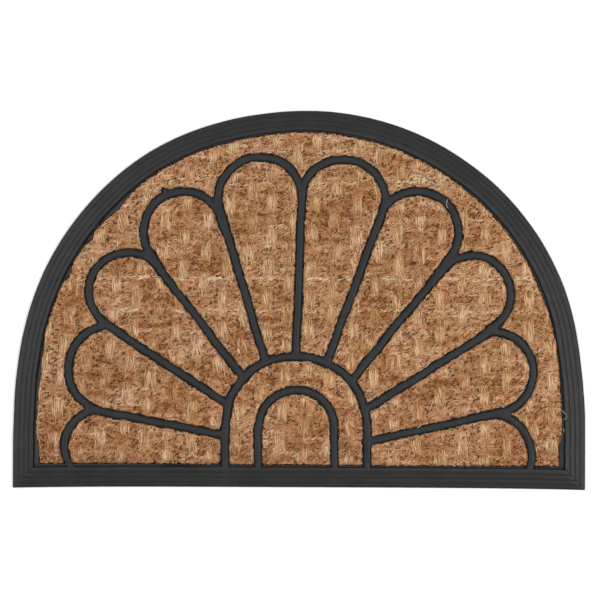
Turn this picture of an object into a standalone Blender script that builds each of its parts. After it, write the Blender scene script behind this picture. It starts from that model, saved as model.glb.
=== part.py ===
# Half-round coir doormat: a rubber moulding with a stepped, grooved border and a raised fan of lines,
# and one woven coir mat laid in its pocket. Metres, +Z up. The straight edge runs along X, and the
# origin is under the middle of the mat's box.

import math
from collections import namedtuple

import bmesh
import bpy

MM = 0.001

# Driving dimensions
MAT_WIDTH = 600 * MM
MAT_DEPTH = 395 * MM
SIDE_LENGTH = 75 * MM  # the straight sides, up from the square corners
CROWN_POWER = 2.1  # the rounded side is half of a superellipse of this power
CROWN_STEP_DEG = 2.5
SIDE_STEPS = 4  # stretches of the cloth's edge along each straight side

BASE_THICKNESS = 2.0 * MM
CLEARANCE = 0.3 * MM
POCKET_CUT_HEIGHT = 20.0 * MM  # the pocket's cutter stands well clear of the crest
WELD_DISTANCE = 0.01 * MM

LINE_WIDTH = 7.4 * MM
LINE_TOP = 9.8 * MM
LINE_UNDERSIDE = 5.0 * MM  # the cloth runs on below the lines, pressed thin
LINE_SHOULDER = 0.9 * MM
ARC_STEP_DEG = 9.0

COIR_TOP = 9.0 * MM
COIR_EDGE_BEVEL = 1.3 * MM

# The cloth's plain weave: pale warp floats lie where the column and row numbers add up to an even
# number. Its columns lean a little to the right and spread towards the straight edge.
WEAVE_CENTRE = (10.3 * MM, -0.8 * MM)
COLUMN_PITCH = 22.8 * MM
COLUMN_LEAN = 0.73 * MM  # for each row up
COLUMN_SPREAD = -0.11 * MM  # for each column and row up
ROW_PITCH = 16.7 * MM
ROW_SPREAD = 0.03 * MM

FLOAT_WIDTH = 9.0 * MM
FLOAT_LENGTH = 15.0 * MM
FLOAT_CORNER = 2.2 * MM
FLOAT_FLANK = 1.6 * MM
FLOAT_FOOT = 8.0 * MM  # sunk into the cloth
FLOAT_SHOULDER = 8.7 * MM
FLOAT_TOP = 9.8 * MM
FLOAT_MARGIN = 0.3 * MM  # from the edge of the cloth's flat top

ARCH_CENTRE_X = -3.5 * MM
ARCH_CENTRE_RISE = 61.5 * MM
ARCH_RADII = {"outer_arch": 75.0 * MM, "inner_arch": 40.5 * MM}
LEG_FOOT_RISE = 20.0 * MM  # legs and end petals run into the border down to here
TAIL_LENGTH = 18.0 * MM  # a cap that clears its spoke closes on it over this length

# The border from the outer lip to the shelf round the cloth: inset from the edge and height, in mm.
# Three grooves part four bands, and the innermost band is the flat crest.
BorderStep = namedtuple("BorderStep", "inset height")
BORDER_STEPS = (
    BorderStep(0.0, 2.4),
    BorderStep(0.5, 2.9),
    BorderStep(5.2, 4.3),
    BorderStep(5.7, 3.5),
    BorderStep(6.2, 4.7),
    BorderStep(10.8, 6.1),
    BorderStep(11.3, 5.3),
    BorderStep(11.8, 6.5),
    BorderStep(16.5, 7.9),
    BorderStep(17.0, 7.1),
    BorderStep(17.5, 8.7),
    BorderStep(18.3, 9.8),
    BorderStep(21.2, 10.0),
    BorderStep(22.0, 9.5),
    BorderStep(22.6, 8.2),
)

# How far the cloth's cut edge lies inside the mat's outline, in mm, by the angle in degrees at the
# crown's centre. On the left of the crown it falls short in saw-tooth steps.
CutEdge = namedtuple("CutEdge", "angle inset")
CUT_EDGES = (
    CutEdge(-20.0, 24.0),
    CutEdge(-10.0, 26.8),
    CutEdge(-7.0, 26.2),
    CutEdge(-3.0, 24.2),
    CutEdge(20.0, 23.9),
    CutEdge(118.0, 24.0),
    CutEdge(124.0, 25.2),
    CutEdge(130.0, 29.2),
    CutEdge(132.5, 27.6),
    CutEdge(135.0, 26.0),
    CutEdge(137.5, 24.8),
    CutEdge(140.0, 29.0),
    CutEdge(142.5, 25.4),
    CutEdge(145.0, 24.6),
    CutEdge(147.5, 27.8),
    CutEdge(150.0, 24.5),
    CutEdge(170.0, 24.0),
    CutEdge(175.0, 25.0),
    CutEdge(200.0, 24.0),
)

# The ten petal caps, left to right: centre from the mat's mid-line, its rise from the straight edge
# and the line's radius, in mm.
Cap = namedtuple("Cap", "x rise radius")
CAPS = (
    Cap(-207.0, 42.0, 39.0),
    Cap(-197.0, 123.5, 46.0),
    Cap(-180.5, 204.5, 41.0),
    Cap(-122.5, 268.0, 42.0),
    Cap(-42.0, 302.5, 44.0),
    Cap(44.5, 298.5, 45.5),
    Cap(122.5, 267.5, 43.5),
    Cap(180.5, 203.5, 40.5),
    Cap(202.0, 121.5, 43.0),
    Cap(198.5, 33.5, 45.0),
)

# The nine spokes between the caps, left to right: the angle on the outer arch where each one stands
# and its heading, in degrees.
Spoke = namedtuple("Spoke", "foot heading")
SPOKES = (
    Spoke(185.6, 169.2),
    Spoke(161.0, 146.9),
    Spoke(136.5, 127.9),
    Spoke(115.1, 107.0),
    Spoke(90.5, 88.1),
    Spoke(65.5, 69.9),
    Spoke(41.2, 50.9),
    Spoke(15.7, 32.2),
    Spoke(-10.2, 12.5),
)

STRAIGHT_EDGE_Y = -MAT_DEPTH / 2
CROWN_CENTRE_Y = STRAIGHT_EDGE_Y + SIDE_LENGTH
CROWN_RISE = MAT_DEPTH - SIDE_LENGTH
HALF_WIDTH = MAT_WIDTH / 2


def new_collection(name):
    collection = bpy.data.collections.new(name)
    bpy.context.scene.collection.children.link(collection)
    return collection


def surface_finish(name, colour, roughness):
    material = bpy.data.materials.new(name)
    material.use_nodes = True
    shader = material.node_tree.nodes["Principled BSDF"]
    shader.inputs["Base Color"].default_value = (*colour, 1)
    shader.inputs["Roughness"].default_value = roughness
    shader.inputs["Metallic"].default_value = 0.0
    return material


def crown_point(angle_deg, inset):
    """The outline's point at this angle from the crown's centre, moved in along its normal."""
    angle = math.radians(angle_deg)
    across, up = math.cos(angle), math.sin(angle)
    reach = (
        abs(across / HALF_WIDTH) ** CROWN_POWER + abs(up / CROWN_RISE) ** CROWN_POWER
    ) ** (-1 / CROWN_POWER)
    x, y = reach * across, reach * up
    slope_x = math.copysign(abs(x / HALF_WIDTH) ** (CROWN_POWER - 1) / HALF_WIDTH, x)
    slope_y = abs(y / CROWN_RISE) ** (CROWN_POWER - 1) / CROWN_RISE
    length = math.hypot(slope_x, slope_y)
    return (
        x - inset * slope_x / length,
        CROWN_CENTRE_Y + y - inset * slope_y / length,
    )


def crown_outline(inset_at):
    """The rounded side from right to left, with the inset that inset_at gives for each angle."""
    count = round(180 / CROWN_STEP_DEG)
    angles = [CROWN_STEP_DEG * step for step in range(count + 1)]
    return [crown_point(angle, inset_at(angle)) for angle in angles]


def mat_outline():
    """The whole outline, with its two square corners."""
    corners = [(-HALF_WIDTH, STRAIGHT_EDGE_Y), (HALF_WIDTH, STRAIGHT_EDGE_Y)]
    return crown_outline(lambda angle: 0.0) + corners


def cut_inset(angle):
    """The cloth's inset at this angle, read between the rows of the table."""
    for low, high in zip(CUT_EDGES, CUT_EDGES[1:]):
        if low.angle <= angle <= high.angle:
            share = (angle - low.angle) / (high.angle - low.angle)
            return MM * (low.inset + share * (high.inset - low.inset))
    return MM * CUT_EDGES[-1].inset


def cloth_outline(growth=0.0):
    """The cloth's cut edge, grown outwards by growth for the pocket that it lies in."""

    def inset_at(angle):
        return cut_inset(angle) - growth

    def side_point(side, rise):
        angle = math.degrees(math.atan2(rise - SIDE_LENGTH, side * HALF_WIDTH)) % 360
        angle -= 360 if angle > 270 else 0
        return side * (HALF_WIDTH - inset_at(angle)), STRAIGHT_EDGE_Y + rise

    foot = inset_at(CUT_EDGES[-1].angle)
    rises = [foot + step / SIDE_STEPS * (SIDE_LENGTH - foot) for step in range(SIDE_STEPS)]
    left = [side_point(-1, rise) for rise in reversed(rises)]
    right = [side_point(1, rise) for rise in rises]
    return crown_outline(inset_at) + left + right


def outline_face(points, height):
    """A new bmesh that holds one flat face through the points."""
    shape = bmesh.new()
    corners = [shape.verts.new((x, y, height)) for x, y in points]
    face = shape.faces.new(corners)
    face.normal_update()
    return shape, face


def raise_face(shape, face, rise):
    """Pulls the face straight up and returns the face at the top."""
    made = bmesh.ops.extrude_face_region(shape, geom=[face], use_keep_orig=True)
    new_points = [item for item in made["geom"] if isinstance(item, bmesh.types.BMVert)]
    bmesh.ops.translate(shape, verts=new_points, vec=(0, 0, rise))
    return next(item for item in made["geom"] if isinstance(item, bmesh.types.BMFace))


def object_of(shape, name, collection):
    """Closes the bmesh, turns its faces outwards and puts it in an object."""
    bmesh.ops.recalc_face_normals(shape, faces=shape.faces)
    mesh = bpy.data.meshes.new(name)
    shape.to_mesh(mesh)
    shape.free()
    made = bpy.data.objects.new(name, mesh)
    collection.objects.link(made)
    return made


def as_cutter(helper):
    helper.hide_render = True
    helper.display_type = "WIRE"
    return helper


def weave_point(column, row):
    """Where this column and row cross, counted from the middle ones."""
    x = column * COLUMN_PITCH + row * COLUMN_LEAN + column * row * COLUMN_SPREAD
    y = row * ROW_PITCH + column * row * ROW_SPREAD
    return WEAVE_CENTRE[0] + x, WEAVE_CENTRE[1] + y


def float_outline(column, row):
    """A float's plan: a rectangle with cut corners that leans with its column."""
    middle_x, middle_y = weave_point(column, row)
    slope = (COLUMN_LEAN + column * COLUMN_SPREAD) / ROW_PITCH
    wide, long = FLOAT_WIDTH / 2, FLOAT_LENGTH / 2
    corner = [(wide, long - FLOAT_CORNER), (wide - FLOAT_CORNER, long)]
    right = [(across, -along) for across, along in reversed(corner)] + corner
    left = [(-across, -along) for across, along in right]
    return [
        (middle_x + across + along * slope, middle_y + along) for across, along in right + left
    ]


def line_section(name, half_widths_and_heights, collection):
    """The closed section of a line, from its right half: X across the line and Y up."""
    right = [(half, height) for half, height in half_widths_and_heights]
    left = [(-half, height) for half, height in reversed(right)]
    curve = bpy.data.curves.new(name, "CURVE")
    curve.dimensions = "2D"
    spline = curve.splines.new("POLY")
    spline.points.add(len(right + left) - 1)
    for point, (x, y) in zip(spline.points, right + left):
        point.co = (x, y, 0, 1)
    spline.use_cyclic_u = True
    section = bpy.data.objects.new(name, curve)
    collection.objects.link(section)
    return as_cutter(section)


def swept_line(name, route, section, collection):
    """A solid that follows a flat route with the section, as a welded mesh."""
    curve = bpy.data.curves.new(name, "CURVE")
    curve.dimensions = "2D"
    curve.fill_mode = "NONE"
    curve.bevel_mode = "OBJECT"
    curve.bevel_object = section
    curve.use_fill_caps = True
    spline = curve.splines.new("POLY")
    spline.points.add(len(route) - 1)
    for point, (x, y) in zip(spline.points, route):
        point.co = (x, y, 0, 1)
    guide = bpy.data.objects.new(name + "_guide", curve)
    collection.objects.link(guide)
    bpy.context.view_layer.update()
    graph = bpy.context.evaluated_depsgraph_get()
    mesh = bpy.data.meshes.new_from_object(guide.evaluated_get(graph))
    shape = bmesh.new()
    shape.from_mesh(mesh)
    bmesh.ops.remove_doubles(shape, verts=shape.verts, dist=WELD_DISTANCE)
    bpy.data.objects.remove(guide)
    bpy.data.meshes.remove(mesh)
    return as_cutter(object_of(shape, name, collection))


def arc_points(centre, radius, start_deg, end_deg):
    steps = max(1, math.ceil(abs(end_deg - start_deg) / ARC_STEP_DEG))
    angles = [start_deg + (end_deg - start_deg) * step / steps for step in range(steps + 1)]
    return [
        (
            centre[0] + radius * math.cos(math.radians(angle)),
            centre[1] + radius * math.sin(math.radians(angle)),
        )
        for angle in angles
    ]


def arch_centre():
    return ARCH_CENTRE_X, STRAIGHT_EDGE_Y + ARCH_CENTRE_RISE


def spoke_foot(spoke):
    angle = math.radians(spoke.foot)
    centre_x, centre_y = arch_centre()
    radius = ARCH_RADII["outer_arch"]
    return centre_x + radius * math.cos(angle), centre_y + radius * math.sin(angle)


def along_spoke(spoke, distance):
    """The point on the spoke's middle line at this distance from its foot."""
    heading = math.radians(spoke.heading)
    x, y = spoke_foot(spoke)
    return x + distance * math.cos(heading), y + distance * math.sin(heading)


def cap_centre(cap):
    return cap.x * MM, STRAIGHT_EDGE_Y + cap.rise * MM


def meeting(cap, spoke):
    """Where the cap's circle meets the spoke: the distance up the spoke, and whether they cross."""
    heading = math.radians(spoke.heading)
    foot_x, foot_y = spoke_foot(spoke)
    centre_x, centre_y = cap_centre(cap)
    away_x, away_y = centre_x - foot_x, centre_y - foot_y
    beside = away_x * math.cos(heading) + away_y * math.sin(heading)
    off = abs(away_x * math.sin(heading) - away_y * math.cos(heading))
    radius = cap.radius * MM
    crosses = off < radius
    if crosses:
        beside += math.sqrt(radius**2 - off**2)
    return beside, crosses


def angle_from(centre, point):
    return math.degrees(math.atan2(point[1] - centre[1], point[0] - centre[0]))


def border_angle(cap, side):
    """The angle at which an end petal's arc runs into the border, on its outer side."""
    drop = math.degrees(math.asin((LEG_FOOT_RISE - cap.rise * MM) / (cap.radius * MM)))
    return drop if side > 0 else 180 - drop


def cap_route(index):
    """The cap's arc from its left spoke to its right spoke, over the outer side."""
    cap = CAPS[index]
    centre = cap_centre(cap)
    tails = {}
    ends = {}
    for side, number in (("left", index - 1), ("right", index)):
        tails[side] = []
        if not 0 <= number < len(SPOKES):
            ends[side] = border_angle(cap, 1 if side == "right" else -1)
            continue
        spoke = SPOKES[number]
        distance, crosses = meeting(cap, spoke)
        ends[side] = angle_from(centre, along_spoke(spoke, distance))
        if not crosses:
            tails[side] = [along_spoke(spoke, distance - TAIL_LENGTH)]
    outward = angle_from(arch_centre(), centre)
    left = outward + (ends["left"] - outward) % 360
    right = outward - (outward - ends["right"]) % 360
    arc = arc_points(centre, cap.radius * MM, left, right)
    return tails["left"] + arc + tails["right"]


def spoke_route(index):
    spoke = SPOKES[index]
    reach = max(meeting(CAPS[index], spoke)[0], meeting(CAPS[index + 1], spoke)[0])
    return [spoke_foot(spoke), along_spoke(spoke, reach)]


def arch_route(radius):
    centre = arch_centre()
    foot_y = STRAIGHT_EDGE_Y + LEG_FOOT_RISE
    arc = arc_points(centre, radius, 180, 0)
    return [(centre[0] - radius, foot_y)] + arc + [(centre[0] + radius, foot_y)]


def fan_routes():
    """Every line of the fan by name: the caps, the spokes and the two arches at the hub."""
    routes = {f"cap_{index + 1}": cap_route(index) for index in range(len(CAPS))}
    routes.update({f"spoke_{index + 1}": spoke_route(index) for index in range(len(SPOKES))})
    routes.update({name: arch_route(radius) for name, radius in ARCH_RADII.items()})
    return routes


def combine(target, name, operation, collection=None, helper=None):
    modifier = target.modifiers.new(name, "BOOLEAN")
    modifier.solver = "EXACT"
    modifier.operation = operation
    if collection:
        modifier.operand_type = "COLLECTION"
        modifier.collection = collection
    else:
        modifier.object = helper
    return modifier


def build_rubber(parts, cutters, fan):
    """The stepped border round a pocket for the cloth, with the fan's lines joined to it."""
    shape, face = outline_face(mat_outline(), 0.0)
    top = raise_face(shape, face, BORDER_STEPS[0].height * MM)
    for low, high in zip(BORDER_STEPS, BORDER_STEPS[1:]):
        bmesh.ops.inset_region(
            shape,
            faces=[top],
            thickness=(high.inset - low.inset) * MM,
            depth=(high.height - low.height) * MM,
            use_even_offset=True,
        )
    rubber = object_of(shape, "rubber_moulding", parts)
    rubber.data.materials.append(surface_finish("black_rubber", (0.035, 0.040, 0.043), 0.55))

    pocket_shape, floor = outline_face(cloth_outline(CLEARANCE), BASE_THICKNESS)
    raise_face(pocket_shape, floor, POCKET_CUT_HEIGHT)
    pocket = as_cutter(object_of(pocket_shape, "cloth_pocket", cutters))
    combine(rubber, "Cloth pocket", "DIFFERENCE", helper=pocket)
    combine(rubber, "Fan lines", "UNION", collection=fan)
    return rubber


def warp_floats(cutters):
    """Every float as a low pad with sloping flanks, cut off short of the cloth's edge."""
    columns = math.ceil(HALF_WIDTH / COLUMN_PITCH)
    rows = math.ceil(MAT_DEPTH / 2 / ROW_PITCH)
    shape = bmesh.new()
    tops = []
    for column in range(-columns, columns + 1):
        for row in range(-rows, rows + 1):
            if (column + row) % 2:
                continue
            plan = float_outline(column, row)
            foot = shape.faces.new([shape.verts.new((x, y, FLOAT_FOOT)) for x, y in plan])
            foot.normal_update()
            tops.append(raise_face(shape, foot, FLOAT_SHOULDER - FLOAT_FOOT))
    bmesh.ops.inset_region(
        shape,
        faces=tops,
        thickness=FLOAT_FLANK,
        depth=FLOAT_TOP - FLOAT_SHOULDER,
        use_even_offset=True,
    )
    floats = as_cutter(object_of(shape, "warp_floats", cutters))

    inner_edge = cloth_outline(-COIR_EDGE_BEVEL - FLOAT_MARGIN)
    bound_shape, floor = outline_face(inner_edge, BASE_THICKNESS)
    raise_face(bound_shape, floor, POCKET_CUT_HEIGHT)
    bound = as_cutter(object_of(bound_shape, "cloth_top_bound", cutters))
    combine(floats, "Cloth top bound", "INTERSECT", helper=bound)
    return floats


def build_coir(parts, cutters, channels):
    """The woven mat: one cloth with a worn-round cut edge, pressed thin where the lines run."""
    underside = BASE_THICKNESS + CLEARANCE
    shape, face = outline_face(cloth_outline(), underside)
    top = raise_face(shape, face, COIR_TOP - COIR_EDGE_BEVEL - underside)
    bmesh.ops.inset_region(
        shape,
        faces=[top],
        thickness=COIR_EDGE_BEVEL,
        depth=COIR_EDGE_BEVEL,
        use_even_offset=True,
    )
    coir = object_of(shape, "coir_cloth", parts)
    coir.data.materials.append(surface_finish("natural_coir", (0.33, 0.18, 0.085), 0.95))
    combine(coir, "Warp floats", "UNION", helper=warp_floats(cutters))
    combine(coir, "Line channels", "DIFFERENCE", collection=channels)
    return coir


def build():
    for old in list(bpy.data.objects):
        bpy.data.objects.remove(old)
    parts = new_collection("half_round_coir_doormat")
    cutters = new_collection("cutters")
    fan = new_collection("fan_lines")
    channels = new_collection("line_channels")

    half = LINE_WIDTH / 2
    rib = line_section(
        "line_section",
        (
            (half, LINE_UNDERSIDE),
            (half, LINE_TOP - LINE_SHOULDER),
            (half - LINE_SHOULDER, LINE_TOP),
        ),
        cutters,
    )
    groove_half = half + CLEARANCE
    groove = line_section(
        "channel_section",
        (
            (groove_half, LINE_UNDERSIDE - CLEARANCE),
            (groove_half, COIR_TOP - COIR_EDGE_BEVEL),
            (groove_half + 2 * COIR_EDGE_BEVEL, COIR_TOP + COIR_EDGE_BEVEL),
        ),
        cutters,
    )
    for name, route in fan_routes().items():
        swept_line(name, route, rib, fan)
        swept_line(name + "_channel", route, groove, channels)
    build_rubber(parts, cutters, fan)
    build_coir(parts, cutters, channels)


build()
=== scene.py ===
import math

import bpy
import numpy as np
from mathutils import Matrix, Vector
from mathutils.geometry import delaunay_2d_cdt


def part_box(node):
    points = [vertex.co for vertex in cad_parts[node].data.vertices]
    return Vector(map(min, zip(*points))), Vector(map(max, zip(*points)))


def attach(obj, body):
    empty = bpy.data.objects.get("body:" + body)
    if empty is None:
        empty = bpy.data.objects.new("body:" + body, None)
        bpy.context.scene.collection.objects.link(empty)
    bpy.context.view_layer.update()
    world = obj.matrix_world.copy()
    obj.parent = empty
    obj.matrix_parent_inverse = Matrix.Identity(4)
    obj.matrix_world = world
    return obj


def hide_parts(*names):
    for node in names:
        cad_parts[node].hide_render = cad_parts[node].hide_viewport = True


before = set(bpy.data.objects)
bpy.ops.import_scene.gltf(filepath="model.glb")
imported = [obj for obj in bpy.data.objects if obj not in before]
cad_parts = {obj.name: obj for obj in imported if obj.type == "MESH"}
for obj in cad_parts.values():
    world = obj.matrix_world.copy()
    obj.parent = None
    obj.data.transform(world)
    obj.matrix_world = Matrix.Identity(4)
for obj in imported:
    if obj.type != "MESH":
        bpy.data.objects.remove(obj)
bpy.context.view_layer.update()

# Half-round coir doormat in a rubber moulding. Sizes are in millimetres, measured in the mat's own
# frame, and become metres where a mesh is made.
metre = 0.001
mouldLow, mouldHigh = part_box("rubber_moulding")
matWidth, matDepth, crestHeight = (side / metre for side in mouldHigh - mouldLow)

outline = {
    "sideLength": 75.0,   # straight sides, up from the square corners
    "crownPower": 2.1,    # the rounded side is half of a superellipse
    "crownSpacing": 3.0,  # between the border's points, round the crown
    "sideSpacing": 6.0,   # and along the straight edges
    "mitreSpacing": 0.8,  # close beside the corner's mitre
    # how far the moulded edge strays outwards, by the angle at the crown's centre
    "stray": (
        (-5, 0.0), (0, -0.2), (5, -1.1), (10, -1.3), (15, -0.5), (20, 0.8), (26, 1.9), (36, 2.2),
        (50, 1.6), (57, 0.8), (85, 0.6), (91, 0.0), (97, -1.0), (106, -1.3), (120, -0.4), (135, -0.6),
        (150, 0.1), (160, -0.2), (170, -0.7), (180, 0.0), (184, 0.8), (205, 0.8),
    ),
    "strayMarks": 9,      # places down each straight side where that is read
    "cornerDroop": 1.7,   # how far the straight edge bows out towards its corners
    # how much further in than usual the grooves lie, by the same angle
    "grooveMore": (
        (-14.37, -0.8), (-14.35, 0.0), (15, 0.1), (28, 0.4), (55, 0.3), (66, -0.3), (80, -0.5),
        (100, -0.6), (115, -0.2), (135, 0.5), (160, 0.3), (175, 0.8), (194.32, 0.6), (194.36, -0.8),
    ),
    # and how much further in the crest ends
    "crestMore": (
        (-14.37, 0.1), (-14.35, 0.8), (0, 0.9), (10, 0.6), (18, 1.0), (60, 1.4), (72, 0.9), (82, 0.1),
        (90, -0.5), (110, -0.4), (135, -0.1), (172, 0.1), (180, 0.8), (194.32, 0.8), (194.36, 0.1),
    ),
    # how far the cloth's cut edge lies inside the moulded edge, by the same angle
    "cutEdge": (
        (-20, 28.3), (-6.5, 28.3), (-5.4, 25.0), (8, 24.5), (12, 23.8), (20, 24.1), (26, 25.4),
        (50, 24.9), (75, 24.0), (90, 22.9), (98, 23.6), (112, 23.1), (126, 23.5), (129, 25.6),
        (131, 28.4), (133, 26.4), (138.5, 23.8), (140.2, 27.2), (142, 23.9), (146.5, 23.9),
        (148.5, 26.3), (150, 26.6), (151, 23.5), (160, 23.2), (171, 26.1), (178, 25.0), (187, 25.5),
        (188, 27.4), (200, 29.2),
    ),
    # and inside the straight edge, by how far right of the middle
    "bottomCut": ((-300, 25.5), (-230, 25.1), (-100, 24.3), (0, 24.2), (150, 23.4), (230, 23.9), (300, 25.2)),
}
halfWidth = matWidth / 2
straightY = -matDepth / 2
crownY = straightY + outline["sideLength"]
crownRise = matDepth - outline["sideLength"]


def ripple(x, y, seed, shortest, longest, waves=24):
    # a smooth unevenness of about 1, made of waves between two lengths
    chance = np.random.default_rng(seed)
    lengths = np.exp(chance.uniform(np.log(shortest), np.log(longest), waves))
    headings = chance.uniform(0, 2 * np.pi, waves)
    phases = chance.uniform(0, 2 * np.pi, waves)
    total = 0
    for length, heading, phase in zip(lengths, headings, phases):
        along = x * np.cos(heading) + y * np.sin(heading)
        total = total + np.sin(2 * np.pi * along / length + phase)
    return total * math.sqrt(2 / waves)


def softStep(low, high, value):
    share = np.clip((value - low) / (high - low), 0, 1)
    return share * share * (3 - 2 * share)


def measured(table, value):
    return np.interp(value, *zip(*outline[table]))


def crownAngle(x, y):
    angle = np.degrees(np.arctan2(y - crownY, x))
    return np.where(angle < -90, angle + 360, angle)


def crownPoint(angle, inset):
    # a point of the rounded side, moved in along its normal
    inset = inset - measured("stray", np.degrees(angle))
    power = outline["crownPower"]
    across, up = np.cos(angle), np.sin(angle)
    reach = np.abs(across / halfWidth) ** power + np.abs(up / crownRise) ** power
    reach = reach ** (-1 / power)
    x, y = reach * across, reach * up
    slopeX = np.sign(x) * np.abs(x / halfWidth) ** (power - 1) / halfWidth
    slopeY = np.abs(y / crownRise) ** (power - 1) / crownRise
    size = np.hypot(slopeX, slopeY)
    return x - inset * slopeX / size, crownY + y - inset * slopeY / size


def droop(x):
    return outline["cornerDroop"] * (x / halfWidth) ** 4


def clothInset(x, y):
    # how far a point lies inside the cloth's cut edge
    power = outline["crownPower"]
    up = np.maximum(y - crownY, 0)
    level = (np.abs(x / halfWidth) ** power + (up / crownRise) ** power) ** (1 / power)
    level = np.maximum(level, 1e-6)
    slopeX = np.abs(x / halfWidth) ** (power - 1) / halfWidth
    slopeY = (up / crownRise) ** (power - 1) / crownRise
    steep = level ** (1 - power) * np.hypot(slopeX, slopeY)
    angle = crownAngle(x, y)
    crown = (1 - level) / np.maximum(steep, 1e-9) + measured("stray", angle) - measured("cutEdge", angle)
    return np.minimum(crown, y - straightY + droop(x) - measured("bottomCut", x))


def lengthAlong(x, y):
    return np.concatenate([[0], np.cumsum(np.hypot(np.diff(x), np.diff(y)))])


def evenAngles(spacing):
    # angles round the crown whose points are evenly spaced
    fine = np.linspace(0, np.pi, 2000)
    length = lengthAlong(*crownPoint(fine, 0))
    count = math.ceil(length[-1] / spacing)
    return np.interp(np.linspace(0, length[-1], count + 1), length, fine)


def sideShares(length, spacing, close):
    # shares along a straight side, with one more point close to each mitre in close
    shares = list(np.linspace(0, 1, math.ceil(length / spacing) + 1))
    near = outline["mitreSpacing"] / length
    shares += [near] if "start" in close else []
    shares += [1 - near] if "end" in close else []
    return np.array(sorted(shares))


class Ring:
    # the closed ring of points that every row of the border follows
    def __init__(self, crownSpacing, sideSpacing):
        self.angles = evenAngles(crownSpacing)
        side = sideShares(outline["sideLength"], sideSpacing, "end")
        self.left = side[1:]
        self.bottom = sideShares(matWidth, sideSpacing, "start end")[1:-1]
        self.right = (1 - side[::-1])[:-1]
        self.splits = np.cumsum([len(self.angles), len(self.left), len(self.bottom)])
        self.count = self.splits[-1] + len(self.right)
        self.corners = (self.splits[1] - 1, self.splits[2])

    def at(self, inset):
        inset = np.broadcast_to(inset, self.count)
        crown, left, bottom, right = np.split(inset, self.splits)
        crownX, crownUp = crownPoint(self.angles, crown)
        marks = np.linspace(0, 1, outline["strayMarks"])
        sideY = np.linspace(crownY, straightY, outline["strayMarks"])
        leftStray, rightStray = (measured("stray", crownAngle(x, sideY)) for x in (-halfWidth, halfWidth))
        left = left - np.interp(self.left, marks, leftStray)
        right = right - np.interp(1 - self.right, marks, rightStray)
        lowLeft = (-halfWidth + left[-1], straightY + bottom[0] - droop(halfWidth))
        lowRight = (halfWidth - right[0], straightY + bottom[-1] - droop(halfWidth))
        leftY = crownY + self.left * (lowLeft[1] - crownY)
        rightY = lowRight[1] + self.right * (crownY - lowRight[1])
        bottomX = lowLeft[0] + self.bottom * (lowRight[0] - lowLeft[0])
        bottomY = straightY + bottom - droop(bottomX)
        x = np.concatenate([crownX, -halfWidth + left, bottomX, halfWidth - right])
        return x, np.concatenate([crownUp, leftY, bottomY, rightY])

    def cut(self):
        # the cloth's inset at each point of the ring
        x, y = self.at(0.0)
        inset = measured("cutEdge", crownAngle(x, y))
        bottom = slice(self.splits[1], self.splits[2])
        inset[bottom] = measured("bottomCut", x[bottom])
        return inset


def addObject(name, data):
    made = bpy.data.objects.new(name, data)
    bpy.context.scene.collection.objects.link(made)
    return made


def makePiece(name, points, faceGroups, material, node):
    mesh = bpy.data.meshes.new(name)
    corners = np.concatenate([np.ravel(group) for group in faceGroups])
    sizes = np.concatenate([np.full(len(group), len(group[0])) for group in faceGroups])
    mesh.vertices.add(len(points))
    mesh.vertices.foreach_set("co", (points * metre).astype(np.float32).ravel())
    mesh.loops.add(len(corners))
    mesh.loops.foreach_set("vertex_index", corners.astype(np.int32))
    mesh.polygons.add(len(sizes))
    mesh.polygons.foreach_set("loop_start", (np.cumsum(sizes) - sizes).astype(np.int32))
    mesh.update(calc_edges=True)
    mesh.validate()
    mesh.shade_smooth()
    mesh.materials.append(material)
    piece = addObject(name, mesh)
    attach(piece, "root")
    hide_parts(node)
    return piece


class Finish:
    # a material's or a world's shader, and a short way to add and join nodes
    def __init__(self, name, kind="materials", shader="Principled BSDF", **sockets):
        self.owner = getattr(bpy.data, kind).new(name)
        self.owner.use_nodes = True
        self.nodes = self.owner.node_tree.nodes
        self.links = self.owner.node_tree.links
        self.shader = self.nodes[shader]
        for socket, value in sockets.items():
            self.shader.inputs[socket.replace("_", " ")].default_value = value

    def add(self, kind, inputs=None, **settings):
        node = self.nodes.new("ShaderNode" + kind)
        for setting, value in settings.items():
            setattr(node, setting, value)
        for socket, value in (inputs or {}).items():
            if isinstance(value, bpy.types.NodeSocket):
                self.links.new(value, node.inputs[socket])
            else:
                node.inputs[socket].default_value = value
        return node

    def ramp(self, value, *stops):
        # stops are a place from 0 to 1 and a colour
        node = self.add("ValToRGB", {"Fac": value})
        marks = node.color_ramp.elements
        while len(marks) < len(stops):
            marks.new(1.0)
        for mark, (place, colour) in zip(marks, stops):
            mark.position = place
            mark.color = (*colour, 1)
        return node.outputs["Color"]

    def noise(self, where, scale, detail=4.0, roughness=0.55):
        inputs = {"Vector": where, "Scale": scale, "Detail": detail, "Roughness": roughness}
        return self.add("TexNoise", inputs).outputs["Fac"]

    def mapped(self, value, fromLow, fromHigh, low, high):
        names = ("Value", "From Min", "From Max", "To Min", "To Max")
        inputs = dict(zip(names, (value, fromLow, fromHigh, low, high)))
        return self.add("MapRange", inputs).outputs["Result"]

    def spread(self, noise, low, high):
        return self.mapped(noise, 0.25, 0.75, low, high)

    def use(self, socket, value):
        self.links.new(value, self.shader.inputs[socket])

    def bump(self, height, strength, distance):
        inputs = {"Strength": strength, "Distance": distance, "Height": height}
        self.use("Normal", self.add("Bump", inputs).outputs["Normal"])


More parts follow.
